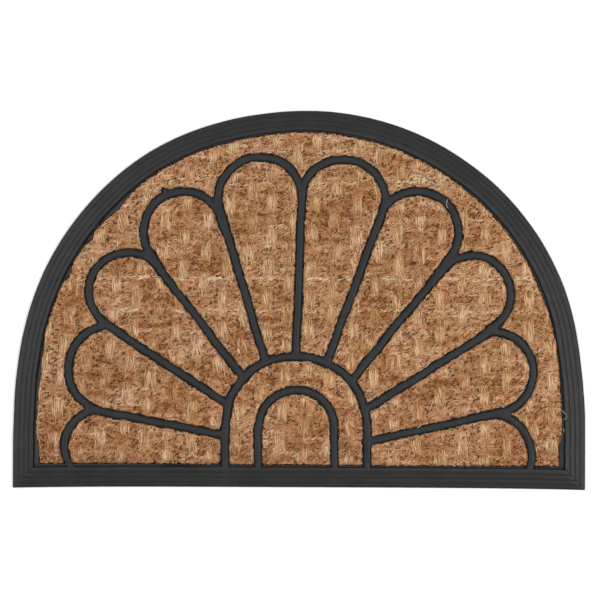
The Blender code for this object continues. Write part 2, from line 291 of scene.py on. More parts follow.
# Rubber border: a lip, three sloping bands parted by grooves, the crest, and the shelf at the cloth
border = {
    "foot": ((0.3, 0.0), (0.0, 0.4)),  # inset and height of its bevel
    "lipHeight": 2.4,
    "lipBevel": 0.5,
    "bands": 3,
    "firstGroove": 5.0,
    "groovePitch": 5.45,
    "grooveHalf": 0.5,
    "grooveDepth": 0.6,
    "bandSlope": 1.4,     # how far a band rises
    "bandStep": 1.9,      # from the start of one band up to the start of the next
    "crestStep": 0.2,     # more than that for the crest
    "crestStart": (17.9, -0.3),   # inset, and height below the crest
    "crestEnd": (20.4, 0.0),
    "crestShoulder": (21.0, -0.3),
    "shelfStart": 21.4,
    "shelfHeight": 5.3,
    "shelfLeast": 0.5,
    # insets between which the strays of the grooves and of the crest come in or end
    "groovesBegin": (1.0, 4.0),
    "groovesEnd": (16.2, 18.5),
    "crestBegins": (18.5, 20.4),
    "valleyEnd": 22.4,
    "flashStart": 23.0,
    "flashRise": 3.1,
    "flashAt": (23.8, 25.2),      # insets of the cut edge between which the flash comes up
    "flashBevel": 0.5,
    # how far from the cut edge the valley ends and the flash starts and ends, at the least
    "beforeCut": (0.7, 0.4, 0.3),
    "rowGap": 0.15,
    "flashGap": 0.1,
    "clearance": 0.3,     # to the cloth
    "floorHeight": 2.0,
    "rounding": 2,        # rounds of corner cutting
    "evenLip": 4.0,       # the unevenness comes in over this inset
    "waver": 0.12,        # how unevenly the grooves run
    "heightWaver": 0.05,
    "mitreDepth": 0.35,
}


def borderProfile():
    steps = [*border["foot"], (0.0, border["lipHeight"])]
    start = border["lipHeight"] + border["lipBevel"]
    for band in range(border["bands"]):
        low = start + band * border["bandStep"]
        high = low + border["bandSlope"]
        inner = border["firstGroove"] + band * border["groovePitch"]
        outer = max(inner - border["groovePitch"], 0) + border["grooveHalf"]
        steps.append((outer, low))
        steps.append((inner - border["grooveHalf"], high))
        steps.append((inner, high - border["grooveDepth"]))
    steps.append((inner + border["grooveHalf"], low + border["bandStep"] + border["crestStep"]))
    for key in ("crestStart", "crestEnd", "crestShoulder"):
        inset, below = border[key]
        steps.append((inset, crestHeight + below))
    steps.append((border["shelfStart"], border["shelfHeight"]))
    return np.array(steps)


def cutCorners(steps, rounds):
    # rounds a profile and keeps its ends
    for _ in range(rounds):
        before, after = steps[:-1], steps[1:]
        pairs = np.stack([0.75 * before + 0.25 * after, 0.25 * before + 0.75 * after], axis=1)
        steps = np.concatenate([steps[:1], pairs.reshape(-1, 2)[1:-1], steps[-1:]])
    return steps


def rubberFinish(name, shine, dark, light):
    finish = Finish(name, Specular_IOR_Level=shine, IOR=1.45)
    place = finish.add("TexCoord").outputs["Object"]
    finish.use("Base Color", finish.ramp(finish.noise(place, 45.0, 8.0, 0.7), (0.3, dark), (0.72, light)))
    finish.use("Roughness", finish.spread(finish.noise(place, 160.0), 0.42, 0.56))
    finish.bump(finish.noise(place, 1400.0, 3.0), 0.35, 0.0002)
    return finish.owner


def makeBorder():
    ring = Ring(outline["crownSpacing"], outline["sideSpacing"])
    cut = ring.cut() - border["clearance"]
    angle = crownAngle(*ring.at(0.0))
    more = np.minimum(measured("crestMore", angle), cut - border["shelfLeast"] - border["shelfStart"])
    grooveMore = measured("grooveMore", angle)
    rows = []
    for inset, height in cutCorners(borderProfile(), border["rounding"]):
        groove = grooveMore * softStep(*border["groovesBegin"], inset)
        groove = groove * (1 - softStep(*border["groovesEnd"], inset))
        rows.append((inset + groove + more * softStep(*border["crestBegins"], inset), height))
    # where the cloth was cut short, thin rubber has flowed up to it
    shelf = border["shelfHeight"]
    flash = shelf + border["flashRise"] * softStep(*border["flashAt"], cut)
    valleyStop, flashBegin, flashStop = (cut - gap for gap in border["beforeCut"])
    valleyEnd = np.minimum(valleyStop, border["valleyEnd"] + more)
    valleyEnd = np.maximum(border["shelfStart"] + border["rowGap"] + more, valleyEnd)
    flashStart = np.maximum(valleyEnd + border["rowGap"], np.minimum(border["flashStart"], flashBegin))
    flashEnd = np.maximum(flashStart + border["flashGap"], flashStop)
    rows += [(valleyEnd, shelf), (flashStart, flash), (flashEnd, flash)]
    rows += [(cut, flash - border["flashBevel"]), (cut, border["floorHeight"])]
    points = []
    for inset, height in rows:
        deep = np.clip(np.mean(inset) / border["evenLip"], 0, 1) * (np.min(height) > border["lipHeight"])
        waver = border["waver"] * deep * ripple(*ring.at(inset), 11, 18.0, 70.0)
        x, y = ring.at(inset + waver)
        z = height + border["heightWaver"] * deep * ripple(x, y, 12, 6.0, 30.0)
        z[list(ring.corners)] -= border["mitreDepth"] * deep
        points.append(np.stack([x, y, z], axis=1))
    points[0][:, 2] = 0.0
    here = np.arange(ring.count)
    after = np.roll(here, -1)
    quads = []
    for low in ring.count * np.arange(len(rows) - 1):
        high = low + ring.count
        quads.append(np.stack([low + here, low + after, high + after, high + here], axis=1))
    caps = [here[::-1], ring.count * (len(rows) - 1) + here]
    faces = [np.concatenate(quads), np.array(caps)]
    finish = rubberFinish("mouldedRubber", 0.34, (0.009, 0.009, 0.009), (0.018, 0.018, 0.0175))
    piece = makePiece("rubberBorder", np.concatenate(points), faces, finish,
                      "rubber_moulding")
    piece.data.set_sharp_from_angle(angle=math.radians(60))
    print("rubber border:", ring.count, "points round,", len(rows), "rows")
    return piece


# Fan lines: ten petal caps, nine spokes and two arches in one moulded piece with the border
fan = {
    "halfWidth": 3.4,
    "blend": 0.7,         # how softly two lines run together
    "drift": 0.25,        # how far a line strays from its true course
    "edgeWaver": 0.10,
    "nickDepth": 0.5,
    "nickStart": 1.9,     # of a ripple of about 1
    "top": 9.95,
    "topWaver": 0.06,
    "shoulderDrop": 1.2,
    "shoulderReach": 0.5,
    "skirtWidth": 1.25,   # thin rubber pressed into the cloth beside a line
    "skirtWaver": 0.25,
    "skirtTop": 6.9,
    "skirtFrom": (-0.05, 0.75),   # outside the shoulder, where the slope to the skirt begins and ends
    "foot": 5.0,
    "gridStep": 0.75,
    "loopStep": 1.1,
    "ringOffsets": (-0.75, -0.3, 0.0, 0.45, 1.0),   # rows of points, counted inwards from the shoulder
    "ringMiss": 0.15,     # points that end further than this from their row are left out
    "ringSpacing": 0.2,
    "middleOffset": 1.8,
    "middleStep": 2.2,
    "middleSpacing": 0.7,
    "leastLoop": 12,      # points; shorter loops are left out
    "archX": -3.5,
    "archRise": 61.5,
    "outerArch": 75.0,
    "innerArch": 40.5,
    # how far the arches bulge from a true circle, by the angle at their centre
    "outerBulge": (
        (-5, -0.3), (12, -0.2), (30, 0.4), (50, 0.8), (70, 0.5), (90, 1.2), (110, 1.4), (130, 2.0),
        (150, 1.7), (160, 0.5), (170, -1.2), (180, -0.6), (185, -0.3),
    ),
    "innerBulge": (
        (-5, -0.3), (30, 0.3), (50, 0.9), (70, 0.1), (120, 0.0), (150, -0.7), (170, -1.3), (180, -0.6),
        (185, -0.3),
    ),
    "spur": (-142.9, 311.7, -136.0, 309.0, 1.9),  # two ends, and how much thinner it is than a line
    "footRise": 20.0,     # legs and end petals run into the border down to here
    "tail": 18.0,         # a cap that misses its spoke joins it this far down
    # caps from left to right: middle, its rise from the straight edge, and radius
    "caps": (
        (-207.0, 42.0, 39.0), (-197.0, 123.5, 46.0), (-180.5, 204.5, 41.0), (-122.5, 268.0, 42.0),
        (-42.0, 302.5, 44.0), (44.5, 298.5, 45.5), (122.5, 267.5, 43.5), (180.5, 203.5, 40.5),
        (202.0, 121.5, 43.0), (198.5, 33.5, 45.0),
    ),
    # spokes from left to right: the angle on the outer arch where each stands, and its heading
    "spokes": (
        (185.6, 169.2), (161.0, 146.9), (136.5, 127.9), (115.1, 107.0), (90.5, 88.1),
        (65.5, 69.9), (41.2, 50.9), (15.7, 32.2), (-10.2, 12.5),
    ),
}
archCentre = np.array((fan["archX"], straightY + fan["archRise"]))


def polar(centre, radius, angleDeg):
    angle = math.radians(angleDeg)
    return centre + radius * np.array((math.cos(angle), math.sin(angle)))


def spokePoint(spoke, distance):
    foot, heading = spoke
    return polar(polar(archCentre, fan["outerArch"], foot), distance, heading)


def meeting(cap, spoke):
    # how far up the spoke the cap's circle meets it, and whether they cross
    centre = np.array((cap[0], straightY + cap[1]))
    away = centre - spokePoint(spoke, 0.0)
    heading = polar(np.zeros(2), 1.0, spoke[1])
    beside = float(away @ heading)
    off = abs(float(away[0] * heading[1] - away[1] * heading[0]))
    crosses = off < cap[2]
    return beside + (math.sqrt(cap[2] ** 2 - off ** 2) if crosses else 0.0), crosses


def angleFrom(centre, point):
    return math.degrees(math.atan2(point[1] - centre[1], point[0] - centre[0]))


def fanRoutes():
    # every line as a bar (two ends, how much thinner) or an arc (centre, radius, two angles, bulge)
    bars, arcs = [], []
    for number, spoke in enumerate(fan["spokes"]):
        reach = max(meeting(fan["caps"][number + side], spoke)[0] for side in (0, 1))
        start = max(np.interp(spoke[0], *zip(*fan["outerBulge"])), 0.0)
        bars.append((spokePoint(spoke, start), spokePoint(spoke, reach), 0.0))
    for number, cap in enumerate(fan["caps"]):
        centre = np.array((cap[0], straightY + cap[1]))
        outward = angleFrom(archCentre, centre)
        ends = []
        for side, spokeNumber in ((1, number - 1), (-1, number)):
            if 0 <= spokeNumber < len(fan["spokes"]):
                spoke = fan["spokes"][spokeNumber]
                distance, crosses = meeting(cap, spoke)
                meet = spokePoint(spoke, distance)
                end = angleFrom(centre, meet)
                if not crosses:
                    arcEnd = polar(centre, cap[2], end)
                    bars.append((arcEnd, spokePoint(spoke, distance - fan["tail"]), 0.0))
            else:
                drop = math.degrees(math.asin((fan["footRise"] - cap[1]) / cap[2]))
                end = 180 - drop if side > 0 else drop
            ends.append(outward + side * ((side * (end - outward)) % 360))
        arcs.append((centre, cap[2], ends[1], ends[0], ((0, 0.0),)))
    for radius, bulge in ((fan["outerArch"], fan["outerBulge"]), (fan["innerArch"], fan["innerBulge"])):
        arcs.append((archCentre, radius, 0.0, 180.0, bulge))
        for side, more in ((-1, bulge[-1][1]), (1, bulge[0][1])):
            top = archCentre + np.array((side * (radius + more), 0.0))
            bars.append((top, np.array((top[0], straightY + fan["footRise"])), 0.0))
    fromX, fromRise, toX, toRise, thinner = fan["spur"]
    bars.append((np.array((fromX, straightY + fromRise)), np.array((toX, straightY + toRise)), thinner))
    return bars, arcs


fanBars, fanArcs = fanRoutes()


def barDistance(x, y, start, end):
    run = end - start
    share = ((x - start[0]) * run[0] + (y - start[1]) * run[1]) / float(run @ run)
    share = np.clip(share, 0, 1)
    return np.hypot(x - start[0] - share * run[0], y - start[1] - share * run[1])


def arcDistance(x, y, centre, radius, first, last, bulge):
    angle = np.degrees(np.arctan2(y - centre[1], x - centre[0]))
    middle = (first + last) / 2
    turn = (angle - middle + 180) % 360 - 180
    half = (last - first) / 2
    nearest = middle + np.clip(turn, -half, half)
    reach = radius + np.interp(nearest, *zip(*bulge))
    nearest = np.radians(nearest)
    return np.hypot(x - centre[0] - reach * np.cos(nearest), y - centre[1] - reach * np.sin(nearest))


def lineField(x, y):
    # how far a point lies outside the shoulder of the lines; below 0 on a line
    driftX = fan["drift"] * ripple(x, y, 21, 35.0, 120.0)
    driftY = fan["drift"] * ripple(x, y, 22, 35.0, 120.0)
    total = 1e-280
    for start, end, thinner in fanBars:
        beside = barDistance(x + driftX, y + driftY, start, end) + thinner
        total = total + np.exp(-beside / fan["blend"])
    for arc in fanArcs:
        total = total + np.exp(-arcDistance(x + driftX, y + driftY, *arc) / fan["blend"])
    distance = -fan["blend"] * np.log(total)
    waver = fan["edgeWaver"] * ripple(x, y, 23, 5.0, 30.0, 40)
    nicks = fan["nickDepth"] * np.maximum(ripple(x, y, 24, 3.0, 9.0, 40) - fan["nickStart"], 0)
    return distance - fan["halfWidth"] + waver + nicks


def skirtField(x, y):
    # below 0 on a line or its skirt
    reach = fan["skirtWidth"] + fan["skirtWaver"] * ripple(x, y, 26, 4.5, 22.0, 40)
    return lineField(x, y) - reach


class FieldGrid:
    # a field on an even grid, for quick reading anywhere on the mat
    def __init__(self, field, step):
        self.step = step
        self.low = np.array((-halfWidth, straightY))
        self.columns = math.ceil(matWidth / step) + 1
        self.rows = math.ceil(matDepth / step) + 1
        x = self.low[0] + step * np.arange(self.columns)
        y = self.low[1] + step * np.arange(self.rows)
        self.value = field(*np.meshgrid(x, y))

    def read(self, x, y):
        across = np.clip((x - self.low[0]) / self.step, 0, self.columns - 1.001)
        up = np.clip((y - self.low[1]) / self.step, 0, self.rows - 1.001)
        i, j = across.astype(int), up.astype(int)
        s, t = across - i, up - j
        low = self.value[j, i] * (1 - s) + self.value[j, i + 1] * s
        high = self.value[j + 1, i] * (1 - s) + self.value[j + 1, i + 1] * s
        return low * (1 - t) + high * t


skirtGrid = FieldGrid(skirtField, fan["gridStep"])
print("line field:", skirtGrid.columns, "by", skirtGrid.rows)

# the way a contour crosses a grid cell, by which of its corners are inside, from edge to edge
cellTurns = {
    1: ("SW",), 2: ("ES",), 3: ("EW",), 4: ("NE",), 5: ("SW", "NE"), 6: ("NS",), 7: ("NW",),
    8: ("WN",), 9: ("SN",), 10: ("ES", "WN"), 11: ("EN",), 12: ("WE",), 13: ("SE",), 14: ("WS",),
}


def contourLoops(grid):
    # closed loops round everything below 0, with the inside on the left
    inside = grid.value < 0
    code = inside[:-1, :-1] + 2 * inside[:-1, 1:] + 4 * inside[1:, 1:] + 8 * inside[1:, :-1]
    columns = grid.columns
    following = {}
    for case, turns in cellTurns.items():
        j, i = np.nonzero(code == case)
        base = 2 * (j * columns + i)
        edge = {"S": base, "W": base + 1, "N": base + 2 * columns, "E": base + 3}
        for turn in turns:
            following.update(zip(edge[turn[0]].tolist(), edge[turn[1]].tolist()))

    def crossing(edges):
        cell, upright = edges // 2, edges % 2
        j, i = cell // columns, cell % columns
        first = grid.value[j, i]
        second = grid.value[j + upright, i + 1 - upright]
        share = first / (first - second)
        x = grid.low[0] + grid.step * (i + share * (1 - upright))
        y = grid.low[1] + grid.step * (j + share * upright)
        return np.stack([x, y], axis=1)

    loops = []
    while following:
        first, edge = next(iter(following.items()))
        chain = [first]
        del following[first]
        while edge != first:
            chain.append(edge)
            edge = following.pop(edge)
        loops.append(crossing(np.array(chain)))
    return loops


def evenLoop(loop, step):
    closed = np.concatenate([loop, loop[:1]])
    length = lengthAlong(*closed.T)
    count = max(6, round(length[-1] / step))
    marks = np.linspace(0, length[-1], count, endpoint=False)
    return np.stack([np.interp(marks, length, line) for line in closed.T], axis=1)


def fieldSlope(points, reach=0.15):
    x, y = points.T
    slopeX = skirtField(x + reach, y) - skirtField(x - reach, y)
    slopeY = skirtField(x, y + reach) - skirtField(x, y - reach)
    slope = np.stack([slopeX, slopeY], axis=1) / (2 * reach)
    return slope / np.maximum(np.hypot(slopeX, slopeY) / (2 * reach), 0.2)[:, None]


def thinOut(points, taken, spacing):
    # the points that keep this spacing from those taken and from each other
    cells, kept = {}, []
    for number, (x, y) in enumerate(taken.tolist() + points.tolist()):
        i, j = int(x // spacing), int(y // spacing)
        if number >= len(taken):
            beside = [cells.get((i + di, j + dj), ()) for di in (-1, 0, 1) for dj in (-1, 0, 1)]
            if any(math.hypot(u - x, v - y) < spacing for cell in beside for u, v in cell):
                continue
            kept.append((x, y))
        cells.setdefault((i, j), []).append((x, y))
    return np.array(kept).reshape(-1, 2)


def hexPoints(spacing):
    # evenly spread points over the whole mat
    rowStep = spacing * math.sqrt(3) / 2
    rows = np.arange(straightY, -straightY, rowStep)
    across = np.arange(-halfWidth, halfWidth, spacing)
    x = across[None, :] + (np.arange(len(rows)) % 2)[:, None] * spacing / 2
    y = np.repeat(rows[:, None], len(across), axis=1)
    return np.stack([x.ravel(), y.ravel()], axis=1)


def loopEdges(loops):
    edges, start = [], 0
    for loop in loops:
        count = len(loop)
        edges += [(start + k, start + (k + 1) % count) for k in range(count)]
        start += count
    return edges


def planTriangles(points, edges, keep):
    # triangles of the regions between the edges whose mean field is below 0
    made = delaunay_2d_cdt([Vector(point) for point in points.tolist()], edges, [], 0, 1e-7, False)
    flat = np.array([tuple(point) for point in made[0]])
    triangles = np.array(made[2])
    count = len(triangles)
    sides = np.sort(np.stack([triangles, np.roll(triangles, -1, axis=1)], axis=2).reshape(-1, 2), axis=1)
    sides = sides @ (len(flat), 1)
    order = np.argsort(sides, kind="stable")
    owner, sides = order // 3, sides[order]
    inner = ~np.isin(sides, np.sort(edges, axis=1) @ (len(flat), 1))
    same = sides[1:] == sides[:-1]
    paired = np.concatenate([same, [False]]) | np.concatenate([[False], same])
    one, two = owner[:-1][same & inner[1:]], owner[1:][same & inner[1:]]
    # triangles joined by a side that isn't an edge take the lowest number among them
    region, before = np.arange(count), None
    while before is None or (region != before).any():
        before = region.copy()
        least = np.minimum(region[one], region[two])
        np.minimum.at(region, before[one], least)
        np.minimum.at(region, before[two], least)
        region = region[region]
    corner = flat[triangles]
    area = 0.5 * np.abs(np.cross(corner[:, 1] - corner[:, 0], corner[:, 2] - corner[:, 0]))
    value = keep(*corner.mean(axis=1).T)
    mean = np.bincount(region, area * value, count) / np.maximum(np.bincount(region, area, count), 1e-12)
    # a region with a bare side lies outside every loop
    mean[region[owner[inner & ~paired]]] = 1.0
    return flat, triangles[mean[region] < 0]


def closedSheet(loops, inner, keep, topAt, foot):
    # a solid between a fine top and a flat underside, with the wall between them
    rim = np.concatenate(loops)
    edges = loopEdges(loops)
    top, topFaces = planTriangles(np.concatenate([rim, inner]), edges, keep)
    low, lowFaces = planTriangles(rim, edges, keep)
    count = len(top)
    under = np.column_stack([low, np.full(len(low), foot)])
    points = np.concatenate([np.column_stack([top, topAt(*top.T)]), under])
    a, b = np.array(edges).T
    wall = np.stack([a, count + a, count + b, b], axis=1)
    return points, [topFaces, lowFaces[:, ::-1] + count, wall]


def lineTop(x, y):
    beside = lineField(x, y)
    inside = np.maximum(-beside, 0)
    shoulder = fan["top"] - fan["shoulderDrop"] * np.exp(-inside / fan["shoulderReach"])
    share = softStep(*fan["skirtFrom"], beside)
    height = shoulder * (1 - share) + fan["skirtTop"] * share
    return height + fan["topWaver"] * ripple(x, y, 25, 5.0, 40.0)


def makeLines():
    rough = [loop for loop in contourLoops(skirtGrid) if len(loop) > fan["leastLoop"]]
    loops = [evenLoop(loop, fan["loopStep"]) for loop in rough]
    for number, loop in enumerate(loops):
        for _ in range(2):
            loop = loop - fieldSlope(loop) * skirtField(*loop.T)[:, None]
        loops[number] = loop
    rim = np.concatenate(loops)
    slope = fieldSlope(rim)
    taken = rim
    for offset in fan["ringOffsets"]:
        # each row follows the shoulder, which lies one skirt inside the rim
        moved = rim
        for _ in range(3):
            moved = moved - (lineField(*moved.T) + offset)[:, None] * slope
        true = np.abs(lineField(*moved.T) + offset) < fan["ringMiss"]
        taken = np.concatenate([taken, thinOut(moved[true], taken, fan["ringSpacing"])])
    middle = hexPoints(fan["middleStep"])
    middle = middle[lineField(*middle.T) < -fan["middleOffset"]]
    inner = np.concatenate([taken[len(rim):], thinOut(middle, taken, fan["middleSpacing"])])
    points, faces = closedSheet(loops, inner, skirtField, lineTop, fan["foot"])
    finish = rubberFinish("lineRubber", 0.25, (0.0095, 0.0115, 0.0128), (0.018, 0.0208, 0.023))
    piece = makePiece("fanLines", points, faces, finish, "rubber_moulding")
    print("fan lines:", len(loops), "loops,", sum(len(group) for group in faces), "faces")
    return piece


# Woven cloth: three weft yarns in a row, passing over and under each bunch of warp
weave = {
    "centre": (10.8, -0.8),
    "columnPitch": 22.8,
    "columnLean": 0.73,   # to the right for each row up
    "columnSpread": -0.11,
    "rowPitch": 16.7,
    "rowSpread": 0.03,
    "yarnsInRow": 3,
    "stray": 0.6,         # how far the pattern strays from an even one
    "yarnRelief": 0.75,
    "sway": 0.35,         # over and under
    "level": 8.0,
    "floatWidth": 11.2,
    "floatLength": 25.0,
    "floatRise": 1.1,
    "floatFall": 0.6,     # at its sides
    "floatEdge": 1.1,     # where it ends, in its own half widths
    "strandRelief": 0.4,
    "flankDip": 0.9,      # where the yarns dive in under a float
    "flankAt": 1.3,       # in half widths of a float, too
    "flankWidth": 0.25,
    "strands": 3,
    "cloudHeight": 0.15,
    "pitDepth": 2.3,
    "pitStart": 1.38,     # of a ripple of about 1
    "pitEnd": 2.0,
    "pitBeside": 0.2,     # more of them beside the floats
    "lineGap": -0.5,      # the cloth starts to rise under a line's skirt
    "lineReach": 1.0,     # and is at its full height this far outside it
    "lineDip": 2.9,
    "edgeReach": 1.5,
    "edgeDip": 1.1,
    "underside": 2.3,
    "gridStep": 2.1,
    "edgeStep": 1.3,
    "edgeFray": 0.45,
    "edgeSpacing": 0.5,
    "edgeRoom": 1.2,      # between the cut edge and the even grid
}


def weaveStray(x, y):
    return weave["stray"] * ripple(x, y, 35, 40.0, 130.0), weave["stray"] * ripple(x, y, 36, 40.0, 130.0)


def weavePlace(x, y):
    # column and row as fractions; floats lie where their sum is even
    strayX, strayY = weaveStray(x, y)
    across = x + strayX - weave["centre"][0]
    up = y + strayY - weave["centre"][1]
    column, row = across / weave["columnPitch"], up / weave["rowPitch"]
    for _ in range(3):
        row = up / (weave["rowPitch"] + weave["rowSpread"] * column)
        column = (across - weave["columnLean"] * row) / (weave["columnPitch"] + weave["columnSpread"] * row)
    return column, row


def weavePoint(column, row):
    x = column * weave["columnPitch"] + row * (weave["columnLean"] + column * weave["columnSpread"])
    y = row * weave["rowPitch"] + column * row * weave["rowSpread"]
    x, y = weave["centre"][0] + x, weave["centre"][1] + y
    strayX, strayY = weaveStray(x, y)
    return x - strayX, y - strayY


def besideFloat(column):
    # 1 halfway between two columns, where the yarns dive, and 0 over a column
    return 0.5 - 0.5 * np.cos(2 * np.pi * column)


def pitShare(x, y, column):
    # 1 in the small dark gaps between the yarns
    openness = ripple(x, y, 33, 3.2, 9.0, 40) + weave["pitBeside"] * (2 * besideFloat(column) - 1)
    return softStep(weave["pitStart"], weave["pitEnd"], openness)


def nearFloat(column, row):
    # whether the nearest crossing has a float on top, and how far from its middle, 1 at its edge
    nearColumn, nearRow = np.round(column), np.round(row)
    sideways = np.abs(column - nearColumn) * weave["columnPitch"] / (weave["floatWidth"] / 2)
    lengthways = np.abs(row - nearRow) * weave["rowPitch"] / (weave["floatLength"] / 2)
    return (nearColumn + nearRow) % 2 == 0, sideways, lengthways


def clothHeight(x, y):
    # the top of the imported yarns, before any loose fibre
    column, row = weavePlace(x, y)
    yarn = (row + 0.5) * weave["yarnsInRow"]
    acrossYarn = yarn - np.floor(yarn) - 0.5
    over = np.cos(np.pi * column) * np.cos(np.pi * row)
    height = weave["level"] - weave["sway"] * over
    height = height + weave["yarnRelief"] * np.sqrt(np.maximum(1 - (2 * acrossYarn) ** 2, 0))
    isFloat, sideways, lengthways = nearFloat(column, row)
    arch = weave["floatRise"] * np.sqrt(np.maximum(1 - lengthways ** 2, 0))
    aside = np.where(column < np.round(column), -sideways, sideways)
    strand = np.abs(np.sin(np.pi * weave["strands"] * (aside + 1) / 2))
    floatTop = weave["level"] + arch + weave["strandRelief"] * strand
    floatTop = floatTop - weave["floatFall"] * sideways ** 4
    height = np.where(isFloat & (sideways < weave["floatEdge"]), np.maximum(height, floatTop), height)
    flank = np.exp(-((sideways - weave["flankAt"]) / weave["flankWidth"]) ** 2)
    flank = flank * np.maximum(1 - lengthways ** 2, 0)
    height = height - weave["flankDip"] * flank * isFloat
    height = height + weave["cloudHeight"] * ripple(x, y, 31, 5.0, 40.0)
    height = height - weave["pitDepth"] * pitShare(x, y, column)
    beside = skirtGrid.read(x, y)
    height = height - weave["lineDip"] * (1 - softStep(weave["lineGap"], weave["lineReach"], beside))
    return height - weave["edgeDip"] * (1 - softStep(0, weave["edgeReach"], clothInset(x, y)))


def clothFinish():
    finish = Finish("wovenCoir", Specular_IOR_Level=0.1, Roughness=0.9)
    place = finish.add("TexCoord").outputs["Object"]
    turn = (0, 0, math.radians(-25))
    turned = finish.add("Mapping", {"Vector": place, "Rotation": turn, "Scale": (90, 950, 400)})
    streak = finish.noise(turned.outputs["Vector"], 1.0, 5.0, 0.6)
    patch = finish.noise(place, 60.0, 4.0)
    mixed = finish.add("Math", {0: streak, 1: patch}, operation="ADD").outputs[0]
    mixed = finish.add("Math", {0: mixed, 1: 0.5}, operation="MULTIPLY").outputs[0]
    # colours darker than the loose fibres': partly the deeper coir's own, partly painted shade for the gaps
    # between fibres
    tone = finish.ramp(mixed, (0.34, (0.18, 0.074, 0.028)), (0.5, (0.37, 0.176, 0.076)),
                       (0.66, (0.55, 0.31, 0.155)))
    # painted shade: the colour grows darker down between the yarns
    depth = finish.add("SeparateXYZ", {"Vector": place}).outputs["Z"]
    deep = finish.mapped(depth, 0.0058, 0.0080, 0.15, 1.0)
    shaded = finish.add("VectorMath", {0: tone, "Scale": deep}, operation="SCALE")
    finish.use("Base Color", shaded.outputs["Vector"])
    finish.use("Roughness", finish.spread(patch, 0.8, 0.98))
    finish.bump(streak, 0.8, 0.0006)
    return finish.owner


def outsideCloth(x, y):
    return -clothInset(x, y)


def makeCloth():
    ring = Ring(weave["edgeStep"], weave["edgeStep"])
    x, y = ring.at(ring.cut())
    fray = weave["edgeFray"] * ripple(x, y, 32, 2.5, 12.0)
    edge = thinOut(np.stack(ring.at(ring.cut() + fray), axis=1), np.zeros((0, 2)), weave["edgeSpacing"])
    inner = hexPoints(weave["gridStep"])
    inner = inner[clothInset(*inner.T) > weave["edgeRoom"]]
    points, faces = closedSheet([edge], inner, outsideCloth, clothHeight, weave["underside"])
    piece = makePiece("wovenCloth", points, faces, clothFinish(), "coir_cloth")
    (x, y), (nextX, nextY) = edge.T, np.roll(edge, -1, axis=0).T
    area = 0.5 * abs(np.sum(x * nextY - y * nextX))
    size = (edge.max(axis=0) - edge.min(axis=0)) * metre
    print("woven cloth:", sum(len(group) for group in faces), "faces, flat", size, "area", area)
    return piece, size, area * metre ** 2


# Coir fibres: slim tapered spindles; their colour is read from a chart of tone and hue
fibres = {
    "shortest": 2.2,      # less than this beside the rubber is left out
    "marks": 9,           # places along a fibre where it is tested for meeting the rubber
    "overhang": 0.7,      # past the cloth's cut edge
    "tipTone": -0.10,     # painted shade at a fibre's ends, where it dives into the cloth
    "bodyTone": 0.13,     # and how much paler it is in the middle
    "deepShade": 0.31,    # painted shade: how much darker a fibre is down in a gap
    "deepHeights": (6.8, 8.2),    # all of it below the first, none above the second
    # colours from the darkest tone to the palest, of orange coir and of ashen coir
    "stops": (
        ((0.0, (0.068, 0.0175, 0.003)), (0.35, (0.443, 0.184, 0.052)),
         (0.65, (0.708, 0.430, 0.207)), (1.0, (0.800, 0.590, 0.335))),
        ((0.0, (0.060, 0.0185, 0.005)), (0.35, (0.399, 0.189, 0.080)),
         (0.65, (0.636, 0.442, 0.302)), (1.0, (0.730, 0.600, 0.470))),
    ),
    "redBase": 1.0065,    # of the tint that turns rosy in some patches and golden in others
    "greenBase": 0.994,
    "redTint": 0.0715,
    "greenTint": 0.051,
}


def fibreFinish(name, golden, tinting):
    # the chart's u is tone, and its v goes from orange to ashen
    finish = Finish(name, Specular_IOR_Level=0.1, Roughness=0.75)
    chart = finish.add("UVMap", uv_map="OFBake").outputs["UV"]
    apart = finish.add("SeparateXYZ", {"Vector": chart}).outputs
    orange, ashen = (finish.ramp(apart["X"], *stops) for stops in fibres["stops"])
    hue = finish.add("Mix", {0: apart["Y"], 6: orange, 7: ashen}, data_type="RGBA")
    place = finish.add("TexCoord").outputs["Object"]
    red, green = fibres["redBase"] - golden, fibres["greenBase"] + golden
    moreRed, moreGreen = fibres["redTint"] * tinting, fibres["greenTint"] * tinting
    rosy = (red + moreRed, green - moreGreen, red + moreRed)
    yellow = (red - moreRed, green + moreGreen, red - moreRed)
    tint = finish.ramp(finish.noise(place, 85.0, 5.0, 0.55), (0.3, rosy), (0.7, yellow))
    tinted = finish.add("VectorMath", {0: hue.outputs[2], 1: tint}, operation="MULTIPLY")
    finish.use("Base Color", tinted.outputs["Vector"])
    finish.use("Roughness", finish.spread(apart["X"], 0.85, 0.6))
    return finish.owner


